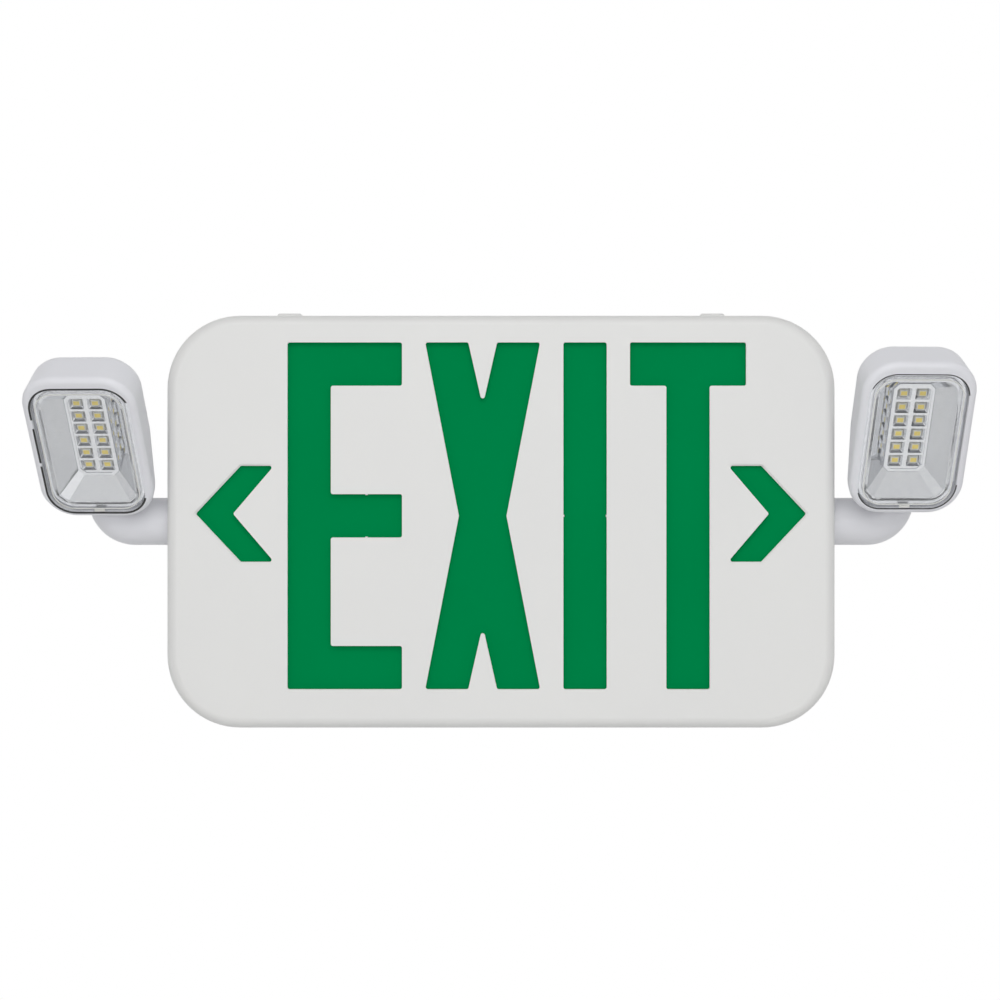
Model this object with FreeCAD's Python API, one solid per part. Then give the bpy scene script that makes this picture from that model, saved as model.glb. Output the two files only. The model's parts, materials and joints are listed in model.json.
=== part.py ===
import FreeCAD, Part
import math
import os
from FreeCAD import Placement, Rotation, Vector

# Emergency exit light: a wall-mounted stencil sign with two lamp heads on swivel arms.
# All sizes are in millimetres.  X runs to the viewer's right, +Z is up, and the wall is the
# plane y = 0.  The face looks towards -Y.  The origin is the middle of the back face.

# Stencil face
LETTER_H = 152.4
STROKE = 19.05
LETTER_Z = 2.6            # height of the lettering's centre line
LETTER_GAP = 10.2
E_WIDTH = 50.3
X_WIDTH = 50.5
T_WIDTH = 51.0
LEGEND_X = -93.8          # left edge of the first letter
X_WAIST = 20.9            # width of the X where its diagonals cross
X_NOTCH = 27.9            # depth of the notch between the diagonals
X_STROKE = 18.9
STENCIL_R = 0.95
NUB_H = 0.4               # gate mark left on the edge of an opening
NUB_W = 1.0
ARROW_TIP_X = 134.2
ARROW_SHOULDER_X = 114.4
ARROW_THROAT_X = 117.7
ARROW_TAIL_X = 99.7
ARROW_H = 42.2
ARROW_Z = 3.5
ARROW_LEDGE = 0.7         # width of the step that the knocked-out web leaves
ARROW_LEDGE_DEPTH = 0.8
SIDE_BORDER = 12.7        # from the arrow's tip to the side of the housing
LETTER_BORDER = 14.5      # mean border above and below the lettering

# Housing
WIDTH = 2 * (ARROW_TIP_X + SIDE_BORDER)
HEIGHT = LETTER_H + 2 * LETTER_BORDER
DEPTH = 48.0
CORNER_R = 32.0
EDGE_R = 4.5
WALL = 2.5
COVER_DEPTH = 11.0        # depth of the cover's side walls, face included
LIP_T = 1.6               # tongue of the rear housing that centres the cover
LIP_REACH = 4.0
FIT_GAP = 0.2             # clearance between parts that are assembled and stay put
RUN_GAP = 0.05            # radial clearance of a turning or sliding fit
THREAD_GAP = 0.02         # radial clearance between threads, which are drawn plain
AIR_GAP = 0.3             # space left between parts that move past each other
PAST = 1.0                # how far a cutting tool runs past the face it cuts
SLIVER = 0.01             # the same for a tool with sloping sides

# Panel and light box behind the face
PANEL_MARGIN = 9.4        # from the panel's edge to the outside of the housing
PANEL_W = WIDTH - 2 * PANEL_MARGIN
PANEL_H = HEIGHT - 2 * PANEL_MARGIN
PANEL_R = CORNER_R - PANEL_MARGIN
PANEL_T = 1.5
TRAY_T = 1.2
CHAMBER = 4.4             # depth of the lit space between panel and tray floor
STRIP_T = 1.0
STRIP_W = 3.6
SIGN_LED_COUNT = 14
SIGN_LED = (3.5, 2.0, 1.2)

# Cover latches
LATCH_X = 93.6
LATCH_W = 11.0
LATCH_T = 1.4
LATCH_BARB = 1.6
LATCH_WINDOW = 5.0        # length of the window along the depth
LATCH_ROOT = 0.5          # overlap of the beam with the face it grows from
PAD_H = 1.5
PAD_L = 13.0
PAD_SET = 1.5             # from the parting line to the pad
PAD_R = 1.3

# Wall fixing
ENTRY_R = 11.1
BOX_PITCH = 88.9          # screw spacing of a round or octagonal electrical box
GANG_PITCH = 83.3         # screw spacing of a single-gang electrical box
FIXING_R = 2.3
KEYHOLE_X = 105.0
KEYHOLE_Z = 52.0
KEYHOLE_HEAD_R = 4.6
KEYHOLE_NECK_R = 2.3
KEYHOLE_RISE = 9.0
RIB_H = 6.0
RIB_T = 1.6
RIB_CLEAR = 2.0           # from a keyhole's screw head to the rib above it
RIB_SET = 12.0            # from the end of a rib to the side of the housing

# Battery
CELL_R = 7.25
CELL_L = 50.0
CELL_COUNT = 3
BATTERY_X = -72.0
BATTERY_Z = -38.0
WRAP_FLAT = 0.8           # half thickness of the wrap between cells, as a share of CELL_R
CRADLE_END_H = 9.0
CRADLE_SIDE_H = 7.0
STRAP_T = 1.2
STRAP_W = 14.0
STRAP_FOOT = 8.0

# Charger board
BOARD_W = 96.0
BOARD_H = 62.0
BOARD_T = 1.6
BOARD_X = 72.0
BOARD_RISE = 14.0         # from the bottom wall to the board
BOARD_EDGE = 5.0          # from the board's edges to its screws
STANDOFF_H = 7.0
STANDOFF_R = 3.6
BOARD_SCREW_R = 1.4
BOARD_SCREW_HEAD_R = 2.7
BOARD_SCREW_HEAD_H = 1.8
BOARD_SCREW_GRIP = 4.5    # length of the shank inside the standoff

# Parts on the board: places are taken from the middle of the board
CORE_X = 24.0
CORE_Z = 8.0
CORE = (28.0, 18.0, 24.0)
COIL = (20.0, 20.5, 32.0)
COIL_LIFT = 1.0           # from the board to the coil
CAPACITORS = ((-34.0, 18.0, 5.0, 13.0), (-20.0, 18.0, 5.0, 13.0), (-9.0, 4.0, 3.2, 8.0))
RELAY_X = -26.5
RELAY_Z = -4.5
RELAY = (19.0, 11.0, 15.0)
TERMINAL_X = 1.5
TERMINAL_EDGE = 5.0       # from the board's upper edge to the block
TERMINAL = (15.0, 12.0, 9.0)
TERMINAL_PITCH = 7.4
TERMINAL_HOLE_R = 1.9
TERMINAL_HOLE_DEPTH = 7.0

# Test switch and status lamp on the underside
BUTTON_X = 58.0
BUTTON_Y = -19.0
BUTTON_R = 3.5
BUTTON_EDGE_R = 0.5
BUTTON_FLANGE_R = 4.8
BUTTON_FLANGE_T = 1.5
BUTTON_TRAVEL = 1.2
BUTTON_RECESS = 0.8
PLUNGER_R = 1.6
PLUNGER_L = 3.2
SPRING_OUTER_R = 3.4
SPRING_INNER_R = 2.5
SWITCH_HALF = 4.0
SWITCH_GRIP = 5.0         # overlap of the switch with the board's lower edge
STATUS_X = 76.0
STATUS_R = 1.5
STATUS_RECESS = 0.6
STATUS_COLLAR = 0.5
STATUS_BODY_L = 5.0
STATUS_LEG = (2.4, 0.5)
STATUS_GRIP = 3.0

# Arms
ARM_Y = -24.0
ARM_R = 10.5
ARM_BORE_R = 7.0
ELBOW_R = 10.6            # centre-line radius of the elbow
POST_X = 173.6
POST_TOP = 26.0
POST_PLATE = 6.0
SPIGOT_R = 9.3
SPIGOT_TAIL = 2.0         # thread left beyond the nut
BOSS_R = 12.8
BOSS_L = 6.0
WASHER_T = 1.2
WASHER_R = 12.6
NUT_T = 4.2
NUT_FLATS = 24.0

# Swivel
STEM_R = 5.5
STEM_TAIL = 3.6           # stem below the post's end plate
LEAD_HOLE_R = 2.5
CLIP_T = 0.8
CLIP_R = 6.5
CLIP_GROOVE = 0.8
CLIP_FREE = 0.1           # play of the clip in its groove
CLIP_MOUTH = 2.4
CAP_H = 4.0
CROWN_H = 5.8
TONGUE_T = 8.0
TONGUE_R = 6.5
WEB_FRONT = 8.9           # reach of the web's root before and behind the post's axis
WEB_BACK = 7.4
WEB_FRONT_ANGLE = 200.0   # where the web's sides meet the eye
WEB_BACK_ANGLE = 60.0
PIVOT_FORWARD = 9.5
PIVOT_Z = 41.0
PIVOT_R = 2.0

# Lens, measured from the centre of its front
LENS_W = 43.7
LENS_H = 65.4
LENS_R = 11.0
LENS_T = 1.5
LENS_SKIRT = 3.5          # depth of the lens, front to foot
LENS_STEP = 1.9           # width of the flange round the raised field
LENS_FIELD = 0.6          # height of the raised field
LENS_WALL = 1.0
LENS_GAP = 0.25           # joint between the lens and the shell

# Shell of the lamp head, measured like the lens
RIM_DEPTH = 0.3           # from the lens front back to the rim's front
RIM_R = 2.7
RIM_SIDE = 3.95           # from the lens's outline to the outside of the shell
RIM_TOP = 5.6
RIM_LOW = 3.1
HEAD_R = 15.0
HEAD_DEPTH = 21.3
HEAD_FOOT = 7.1           # depth at the lower edge, before rounding
HEAD_BEND = -0.5          # height at which the back starts to slope forwards
HEAD_TAPER = 1.65         # draft of each side over the whole depth
HEAD_BACK_R = 5.8
HEAD_WALL = 1.8
LEDGE_W = 1.6             # seat for the foot of the lens and the reflector's flange
LEDGE_T = 1.4
LEDGE_R = 6.0
SEAT_GAP = 0.1            # between the foot of the lens and its seat
PIVOT_BACK = 30.0
PIVOT_DROP = 9.0
LUG_T = 4.5
LUG_ROOT = 16.0           # distance of the lug's root from the pivot
LUG_RISE = 13.0
LUG_DROP = 8.0
SCREW_HEAD_R = 3.4
SCREW_HEAD_H = 2.2
SCREW_EDGE_R = 1.0
SCREW_SLOT_W = 1.0
SCREW_SLOT_DEPTH = 0.8
SCREW_TAIL = 1.0
PIVOT_NUT_FLATS = 7.0
PIVOT_NUT_T = 2.8

# Reflector and lamp board
LAMP_COLUMNS = 2
LAMP_ROWS = 6
LAMP_PITCH_X = 8.42
LAMP_PITCH_Z = 6.56
LAMP_CENTRE_Z = 2.35
LAMP_PACKAGE = (3.5, 2.8, 0.8)
WINDOW_FRONT = (6.6, 5.5)
WINDOW_BACK = (4.2, 3.4)
WINDOW_CHAMFER = 0.3
FLOOR_DEPTH = 9.9
FLOOR_W = 18.4
FLOOR_H = 43.0
FLOOR_T = 1.2
BORDER_W = 1.1            # raised frame round the floor
BORDER_H = 0.4
MOUTH_W = 35.1
MOUTH_H = 58.5
MOUTH_Z = 0.8
MOUTH_CHAMFER = 3.4
FLOOR_CHAMFER = 2.4
BEAD_W = 1.2              # raised edge round the mouth
BEAD_H = 0.15
LAMP_BOARD_T = 1.0
LAMP_BOARD_W = 22.0
LAMP_BOARD_H = 41.5
LAMP_BOARD_Z = 3.25
BOARD_GAP = 0.1           # between the reflector floor and the board
BOARD_RIB_X = 7.0
BOARD_RIB_T = 1.4

# Aim of the two heads as supplied: turn about the post, then tilt about the pivot
AIM = {"left": (-9.3, 36.8), "right": (8.2, 28.9)}

FACE_Y = -DEPTH
PART_LINE_Y = FACE_Y + COVER_DEPTH
PANEL_Y = FACE_Y + WALL
TRAY_Y = PANEL_Y + PANEL_T
SIDE = {"left": -1.0, "right": 1.0}
X_DIR = Vector(1, 0, 0)
Y_DIR = Vector(0, 1, 0)
Z_DIR = Vector(0, 0, 1)
PIECES = {}


def block(x0, x1, y0, y1, z0, z1):
    return Part.makeBox(x1 - x0, y1 - y0, z1 - z0, Vector(x0, y0, z0))


def rod(radius, base, direction, length):
    return Part.makeCylinder(radius, length, base, direction)


def tube(outer, inner, base, direction, length):
    return rod(outer, base, direction, length).cut(rod(inner, base, direction, length))


def hexagon(flats, base, direction, length):
    """Hexagonal prism along X or Z."""
    radius = flats / math.sqrt(3)
    turn = Rotation(Z_DIR, direction)
    points = []
    for corner in range(6):
        angle = math.radians(60 * corner)
        flat = Vector(radius * math.cos(angle), radius * math.sin(angle), 0)
        points.append(base + turn.multVec(flat))
    wire = Part.makePolygon(points + points[:1])
    return Part.Face(wire).extrude(direction * length)


def rounded_wire(points, radius):
    """Closed wire through the points with every corner rounded by the same radius."""
    edges = []
    ends = []
    count = len(points)
    for index, corner in enumerate(points):
        before = (points[index - 1] - corner).normalize()
        after = (points[(index + 1) % count] - corner).normalize()
        half = before.getAngle(after) / 2
        reach = radius / math.tan(half)
        start = corner + before * reach
        finish = corner + after * reach
        bisector = (before + after).normalize()
        middle = corner + bisector * (radius / math.sin(half) - radius)
        ends.append((start, middle, finish))
    for index, (start, middle, finish) in enumerate(ends):
        edges.append(Part.Arc(start, middle, finish).toShape())
        following = ends[(index + 1) % count][0]
        if finish.distanceToPoint(following) > 1e-6:
            edges.append(Part.LineSegment(finish, following).toShape())
    return Part.Wire(Part.__sortEdges__(edges))


def outline(width, height, radius, y, z=0.0):
    half_w, half_h = width / 2, height / 2
    corners = [Vector(-half_w, y, z - half_h), Vector(half_w, y, z - half_h),
               Vector(half_w, y, z + half_h), Vector(-half_w, y, z + half_h)]
    return rounded_wire(corners, radius)


def slab(width, height, radius, y0, y1, z=0.0):
    """Rounded rectangle between two planes of constant y."""
    return Part.Face(outline(width, height, radius, y0, z)).extrude(Vector(0, y1 - y0, 0))


def prism(points, radius, y0, y1):
    """Rounded polygon given as (x, z) pairs, between two planes of constant y."""
    wire = rounded_wire([Vector(x, y0, z) for x, z in points], radius)
    return Part.Face(wire).extrude(Vector(0, y1 - y0, 0))


def side_prism(points, x0, x1):
    """Polygon given as (y, z) pairs, between two planes of constant x."""
    corners = [Vector(x0, y, z) for y, z in points]
    return Part.Face(Part.makePolygon(corners + corners[:1])).extrude(Vector(x1 - x0, 0, 0))


def joined(first, *others):
    return first.multiFuse(list(others)).removeSplitter()


def cut_all(shape, tools):
    for tool in tools:
        shape = shape.cut(tool)
    return shape


def mirrored(shape, side):
    """Shapes are drawn for the right-hand side; the left one is their mirror image."""
    if SIDE[side] > 0:
        return shape
    return shape.mirror(Vector(0, 0, 0), X_DIR)


def add(name, shape):
    PIECES[name] = shape


# Stencil outlines

def letter_openings():
    top = LETTER_Z + LETTER_H / 2
    low = LETTER_Z - LETTER_H / 2
    half = STROKE / 2
    e_left = LEGEND_X
    e_right = e_left + E_WIDTH
    spine = e_left + STROKE
    letter_e = [(e_left, low), (e_right, low), (e_right, low + STROKE), (spine, low + STROKE),
                (spine, LETTER_Z - half), (e_right, LETTER_Z - half),
                (e_right, LETTER_Z + half), (spine, LETTER_Z + half),
                (spine, top - STROKE), (e_right, top - STROKE), (e_right, top), (e_left, top)]
    x_left = e_right + LETTER_GAP
    x_right = x_left + X_WIDTH
    x_mid = (x_left + x_right) / 2
    waist = X_WAIST / 2
    letter_x = [(x_left, low), (x_left + X_STROKE, low), (x_mid, low + X_NOTCH),
                (x_right - X_STROKE, low), (x_right, low), (x_mid + waist, LETTER_Z),
                (x_right, top), (x_right - X_STROKE, top), (x_mid, top - X_NOTCH),
                (x_left + X_STROKE, top), (x_left, top), (x_mid - waist, LETTER_Z)]
    i_left = x_right + LETTER_GAP
    i_right = i_left + STROKE
    letter_i = [(i_left, low), (i_right, low), (i_right, top), (i_left, top)]
    t_left = i_right + LETTER_GAP
    t_right = t_left + T_WIDTH
    t_mid = (t_left + t_right) / 2
    letter_t = [(t_mid - half, low), (t_mid + half, low), (t_mid + half, top - STROKE),
                (t_right, top - STROKE), (t_right, top), (t_left, top),
                (t_left, top - STROKE), (t_mid - half, top - STROKE)]
    return [letter_e, letter_x, letter_i, letter_t]


def arrow_outline(sign, grow=0.0):
    half = ARROW_H / 2 + grow
    slope = (ARROW_TIP_X - ARROW_SHOULDER_X) / (ARROW_H / 2)
    side = grow * math.hypot(1, slope) - grow * slope
    shoulder = ARROW_SHOULDER_X + side
    tip = shoulder + half * slope
    tail = ARROW_TAIL_X
    throat = tail + half * (ARROW_THROAT_X - ARROW_TAIL_X) / (ARROW_H / 2)
    points = [(tail, ARROW_Z - half), (shoulder, ARROW_Z - half), (tip, ARROW_Z),
              (shoulder, ARROW_Z + half), (tail, ARROW_Z + half), (throat, ARROW_Z)]
    return [(sign * x, z) for x, z in points]


# Housing

def front_cover():
    body = slab(WIDTH, HEIGHT, CORNER_R, FACE_Y, PART_LINE_Y)
    rim = [edge for edge in body.Edges
           if all(abs(vertex.Y - FACE_Y) < 1e-6 for vertex in edge.Vertexes)]
    body = body.makeFillet(EDGE_R, rim)
    inside = slab(WIDTH - 2 * WALL, HEIGHT - 2 * WALL, CORNER_R - WALL,
                  PANEL_Y, PART_LINE_Y + PAST)
    tools = [inside]
    for points in letter_openings():
        tools.append(prism(points, STENCIL_R, FACE_Y - PAST, PANEL_Y + PAST))
    for sign in (-1, 1):
        tools.append(prism(arrow_outline(sign), STENCIL_R, FACE_Y - PAST, PANEL_Y + PAST))
        tools.append(prism(arrow_outline(sign, ARROW_LEDGE), STENCIL_R,
                           FACE_Y - PAST, FACE_Y + ARROW_LEDGE_DEPTH))
    body = cut_all(body, tools)
    extras = gate_nubs()
    for x in (-LATCH_X, LATCH_X):
        for up in (-1, 1):
            extras.append(cover_hook(x, up))
    return joined(body, *extras)


def gate_nubs():
    """Small gate marks: beside the middle of the I and on the E's middle bar."""
    e_right = LEGEND_X + E_WIDTH
    i_left = e_right + LETTER_GAP + X_WIDTH + LETTER_GAP
    bar_x = (LEGEND_X + STROKE + e_right) / 2
    depth = (FACE_Y + ARROW_LEDGE_DEPTH, PANEL_Y)
    half = NUB_W / 2
    nubs = []
    for x, way in ((i_left, 1), (i_left + STROKE, -1)):
        x0, x1 = sorted((x - way * half, x + way * NUB_H))
        nubs.append(block(x0, x1, *depth, LETTER_Z - half, LETTER_Z + half))
    for way in (-1, 1):
        z = LETTER_Z + way * STROKE / 2
        z0, z1 = sorted((z + way * half, z - way * NUB_H))
        nubs.append(block(bar_x - half, bar_x + half, *depth, z0, z1))
    return nubs


def hook_outer_z():
    """Outer face of a hook beam, just inside the housing's tongue."""
    return HEIGHT / 2 - WALL - FIT_GAP - LIP_T - FIT_GAP


def cover_hook(x, up):
    """Snap beam from the face, with a barb that catches the housing's window."""
    outer = hook_outer_z()
    inner = outer - LATCH_T
    barb_y = PART_LINE_Y + LIP_REACH
    tip_y = barb_y + LATCH_WINDOW
    reach = HEIGHT / 2 - WALL + LATCH_BARB - FIT_GAP
    points = [(PANEL_Y - LATCH_ROOT, inner), (tip_y, inner), (tip_y, outer),
              (barb_y + FIT_GAP, reach), (barb_y + FIT_GAP, outer),
              (PANEL_Y - LATCH_ROOT, outer)]
    points = [(y, up * z) for y, z in points]
    return side_prism(points, x - LATCH_W / 2, x + LATCH_W / 2)


def rear_housing():
    body = slab(WIDTH, HEIGHT, CORNER_R, PART_LINE_Y, 0)
    body = body.cut(slab(WIDTH - 2 * WALL, HEIGHT - 2 * WALL, CORNER_R - WALL,
                         PART_LINE_Y - PAST, -WALL))
    inset = WALL + FIT_GAP
    tongue = slab(WIDTH - 2 * inset, HEIGHT - 2 * inset, CORNER_R - inset,
                  PART_LINE_Y - LIP_REACH, PART_LINE_Y)
    root = slab(WIDTH - WALL, HEIGHT - WALL, CORNER_R - WALL / 2,
                PART_LINE_Y, PART_LINE_Y + LIP_REACH / 2)
    bore = inset + LIP_T
    hollow = slab(WIDTH - 2 * bore, HEIGHT - 2 * bore, CORNER_R - bore,
                  PART_LINE_Y - LIP_REACH - PAST, PART_LINE_Y + LIP_REACH)
    extras = [tongue.fuse(root).cut(hollow)]
    for x in (-LATCH_X, LATCH_X):
        extras.append(latch_pad(x))
    for side in SIDE:
        boss = rod(BOSS_R, Vector(boss_face_x(), ARM_Y, 0), X_DIR, BOSS_L + WALL / 2)
        extras.append(mirrored(boss, side))
    extras += standoffs() + battery_cradle() + back_ribs()
    body = joined(body, *extras)
    tools = [back_hole(ENTRY_R, 0, 0)]
    for side in SIDE:
        hole = rod(SPIGOT_R + RUN_GAP, Vector(boss_face_x() - PAST, ARM_Y, 0),
                   X_DIR, BOSS_L + WALL + 2 * PAST)
        tools.append(mirrored(hole, side))
    tools += fixing_holes() + latch_windows()
    for x, radius in ((BUTTON_X, BUTTON_R), (STATUS_X, STATUS_R)):
        tools.append(rod(radius + RUN_GAP, Vector(x, BUTTON_Y, -HEIGHT / 2 - PAST),
                         Z_DIR, WALL + 2 * PAST))
    for x, z in standoff_places():
        tools.append(rod(BOARD_SCREW_R, Vector(x, -WALL - STANDOFF_H - PAST, z),
                         Y_DIR, STANDOFF_H))
    return cut_all(body, tools)


def back_hole(radius, x, z):
    return rod(radius, Vector(x, -WALL - PAST, z), Y_DIR, WALL + 2 * PAST)


def latch_pad(x):
    """Rounded pad over a top window, where a screwdriver frees the cover."""
    half = LATCH_W / 2
    top = HEIGHT / 2
    front = PART_LINE_Y + PAD_SET
    pad = block(x - half, x + half, front, front + PAD_L, top - WALL / 2, top + PAD_H)
    rim = [edge for edge in pad.Edges
           if all(vertex.Z > top + PAD_H - 1e-6 for vertex in edge.Vertexes)]
    return pad.makeFillet(PAD_R, rim)


def latch_windows():
    tools = []
    for x in (-LATCH_X, LATCH_X):
        for up in (-1, 1):
            z0 = up * (HEIGHT / 2 - bore_inset() - PAST)
            z1 = up * (HEIGHT / 2 - WALL + LATCH_BARB)
            tools.append(block(x - LATCH_W / 2 - AIR_GAP, x + LATCH_W / 2 + AIR_GAP,
                               PART_LINE_Y + LIP_REACH, PART_LINE_Y + LIP_REACH + LATCH_WINDOW,
                               min(z0, z1), max(z0, z1)))
    return tools


def bore_inset():
    return WALL + FIT_GAP + LIP_T


def fixing_holes():
    tools = []
    for sign in (-1, 1):
        tools.append(back_hole(FIXING_R, sign * BOX_PITCH / 2, 0))
        tools.append(back_hole(FIXING_R, 0, sign * GANG_PITCH / 2))
        x = sign * KEYHOLE_X
        head = back_hole(KEYHOLE_HEAD_R, x, KEYHOLE_Z)
        neck = block(x - KEYHOLE_NECK_R, x + KEYHOLE_NECK_R, -WALL - PAST, PAST,
                     KEYHOLE_Z, KEYHOLE_Z + KEYHOLE_RISE)
        crown = back_hole(KEYHOLE_NECK_R, x, KEYHOLE_Z + KEYHOLE_RISE)
        tools.append(head.fuse(neck).fuse(crown))
    return tools


def board_centre_z():
    return -HEIGHT / 2 + WALL + BOARD_RISE + BOARD_H / 2


def standoff_places():
    half_w, half_h = BOARD_W / 2 - BOARD_EDGE, BOARD_H / 2 - BOARD_EDGE
    z = board_centre_z()
    return [(BOARD_X + sx * half_w, z + sz * half_h) for sx in (-1, 1) for sz in (-1, 1)]


def standoffs():
    return [rod(STANDOFF_R, Vector(x, -WALL - STANDOFF_H, z), Y_DIR, STANDOFF_H + WALL / 2)
            for x, z in standoff_places()]


def battery_cradle():
    """Two end walls and two saddle ribs that hold the cells."""
    pieces = []
    half = CELL_L / 2 + FIT_GAP
    width = CELL_COUNT * CELL_R
    for sign in (-1, 1):
        z0 = BATTERY_Z + sign * half
        z1 = z0 + sign * RIB_T
        pieces.append(block(BATTERY_X - width, BATTERY_X + width,
                            -WALL - CRADLE_END_H, -WALL / 2, min(z0, z1), max(z0, z1)))
        x0 = BATTERY_X + sign * (width + FIT_GAP)
        x1 = x0 + sign * RIB_T
        pieces.append(block(min(x0, x1), max(x0, x1), -WALL - CRADLE_SIDE_H, -WALL / 2,
                            BATTERY_Z - CELL_L / 2, BATTERY_Z + CELL_L / 2))
    return pieces


def back_ribs():
    """Stiffening ribs across the back plate: above the wire entry and above the keyholes."""
    low = (ENTRY_R + GANG_PITCH / 2) / 2
    high = KEYHOLE_Z + KEYHOLE_RISE + KEYHOLE_HEAD_R + RIB_CLEAR
    half = WIDTH / 2 - RIB_SET
    return [block(-half, half, -WALL - RIB_H, -WALL / 2, z - RIB_T / 2, z + RIB_T / 2)
            for z in (low, high)]


def legend_panel():
    return slab(PANEL_W, PANEL_H, PANEL_R, PANEL_Y, PANEL_Y + PANEL_T)


def light_tray():
    depth = CHAMBER + TRAY_T
    body = slab(PANEL_W, PANEL_H, PANEL_R, TRAY_Y, TRAY_Y + depth)
    return body.cut(slab(PANEL_W - 2 * TRAY_T, PANEL_H - 2 * TRAY_T, PANEL_R - TRAY_T,
                         TRAY_Y - PAST, TRAY_Y + CHAMBER))


def strip_length():
    return PANEL_W - 2 * PANEL_R


def sign_strip(up):
    """Light strip lying along the top or bottom wall of the tray."""
    z = up * (PANEL_H / 2 - TRAY_T)
    z0, z1 = sorted((z, z - up * STRIP_T))
    y0 = TRAY_Y + (CHAMBER - STRIP_W) / 2
    half = strip_length() / 2
    return block(-half, half, y0, y0 + STRIP_W, z0, z1)


def sign_lamps(up):
    length, width, height = SIGN_LED
    z = up * (PANEL_H / 2 - TRAY_T - STRIP_T)
    z0, z1 = sorted((z, z - up * height))
    y0 = TRAY_Y + (CHAMBER - width) / 2
    pitch = strip_length() / SIGN_LED_COUNT
    lamps = []
    for index in range(SIGN_LED_COUNT):
        x = (index - (SIGN_LED_COUNT - 1) / 2) * pitch
        lamps.append(block(x - length / 2, x + length / 2, y0, y0 + width, z0, z1))
    return Part.makeCompound(lamps)


def battery_pack():
    y = -WALL - CELL_R
    base = BATTERY_Z - CELL_L / 2
    span = (CELL_COUNT - 1) * CELL_R
    pieces = []
    for index in range(CELL_COUNT):
        x = BATTERY_X - span + index * 2 * CELL_R
        pieces.append(rod(CELL_R, Vector(x, y, base), Z_DIR, CELL_L))
    flat = CELL_R * WRAP_FLAT
    pieces.append(block(BATTERY_X - span, BATTERY_X + span, y - flat, y + flat,
                        base, base + CELL_L))
    return joined(*pieces)


def battery_strap():
    """Bent metal strap over the cells, screwed to the back at both ends."""
    inner = CELL_COUNT * CELL_R + RIB_T + 2 * FIT_GAP
    outer = inner + STRAP_T
    foot = outer + STRAP_FOOT
    top = -WALL - 2 * CELL_R - FIT_GAP
    base = -WALL - STRAP_T
    right = [(outer, top - STRAP_T), (outer, base), (foot, base), (foot, -WALL),
             (inner, -WALL), (inner, top)]
    points = right + [(-x, y) for x, y in reversed(right)]
    z0 = BATTERY_Z - STRAP_W / 2
    corners = [Vector(BATTERY_X + x, y, z0) for x, y in points]
    return Part.Face(Part.makePolygon(corners + corners[:1])).extrude(Vector(0, 0, STRAP_W))


def board_front_y():
    return -WALL - STANDOFF_H - BOARD_T


def charger_board():
    z = board_centre_z()
    board = block(BOARD_X - BOARD_W / 2, BOARD_X + BOARD_W / 2, board_front_y(),
                  board_front_y() + BOARD_T, z - BOARD_H / 2, z + BOARD_H / 2)
    tools = [rod(BOARD_SCREW_R + FIT_GAP, Vector(x, board_front_y() - PAST, place_z),
                 Y_DIR, BOARD_T + 2 * PAST) for x, place_z in standoff_places()]
    return cut_all(board, tools)


def board_screws():
    screws = []
    y = board_front_y()
    for x, z in standoff_places():
        head = rod(BOARD_SCREW_HEAD_R, Vector(x, y - BOARD_SCREW_HEAD_H, z),
                   Y_DIR, BOARD_SCREW_HEAD_H)
        shank = rod(BOARD_SCREW_R - THREAD_GAP, Vector(x, y - BOARD_SCREW_HEAD_H / 2, z), Y_DIR,
                    BOARD_SCREW_HEAD_H / 2 + BOARD_T + BOARD_SCREW_GRIP)
        screws.append(head.fuse(shank))
    return Part.makeCompound(screws)


def on_board(size, x, z, lift=0.0):
    """Box standing on the board: size is width, reach from the board, height."""
    width, reach, height = size
    y = board_front_y()
    x += BOARD_X
    z += board_centre_z()
    return block(x - width / 2, x + width / 2, y - reach, y - lift, z - height / 2, z + height / 2)


def transformer():
    return joined(on_board(CORE, CORE_X, CORE_Z), on_board(COIL, CORE_X, CORE_Z, COIL_LIFT))


def board_parts():
    """Capacitors and relay, each standing on the board."""
    parts = []
    for x, z, radius, height in CAPACITORS:
        base = Vector(BOARD_X + x, board_front_y(), board_centre_z() + z)
        parts.append(rod(radius, base, -Y_DIR, height))
    parts.append(on_board(RELAY, RELAY_X, RELAY_Z))
    return Part.makeCompound(parts)


def terminal_block():
    z = BOARD_H / 2 - TERMINAL_EDGE - TERMINAL[2] / 2
    front = board_front_y() - TERMINAL[1]
    tools = []
    for sign in (-1, 1):
        x = BOARD_X + TERMINAL_X + sign * TERMINAL_PITCH / 2
        tools.append(rod(TERMINAL_HOLE_R, Vector(x, front - PAST, board_centre_z() + z),
                         Y_DIR, TERMINAL_HOLE_DEPTH + PAST))
    return cut_all(on_board(TERMINAL, TERMINAL_X, z), tools)


# Test button and status lamp

def button_low_z():
    return -HEIGHT / 2 + BUTTON_RECESS


def button_flange_z():
    return -HEIGHT / 2 + WALL + AIR_GAP


def test_button():
    base = Vector(BUTTON_X, BUTTON_Y, button_low_z())
    flange_z = button_flange_z()
    top_z = flange_z + BUTTON_FLANGE_T
    pin = rod(BUTTON_R, base, Z_DIR, top_z - base.z)
    flange = rod(BUTTON_FLANGE_R, Vector(BUTTON_X, BUTTON_Y, flange_z), Z_DIR, BUTTON_FLANGE_T)
    plunger = rod(PLUNGER_R, Vector(BUTTON_X, BUTTON_Y, top_z), Z_DIR, PLUNGER_L)
    body = joined(pin, flange, plunger)
    face = [edge for edge in body.Edges
            if all(abs(vertex.Z - base.z) < 1e-6 for vertex in edge.Vertexes)]
    return body.makeFillet(BUTTON_EDGE_R, face)


def switch_low_z():
    return button_flange_z() + BUTTON_FLANGE_T + PLUNGER_L + BUTTON_TRAVEL + AIR_GAP


def board_low_z():
    return board_centre_z() - BOARD_H / 2


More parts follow.
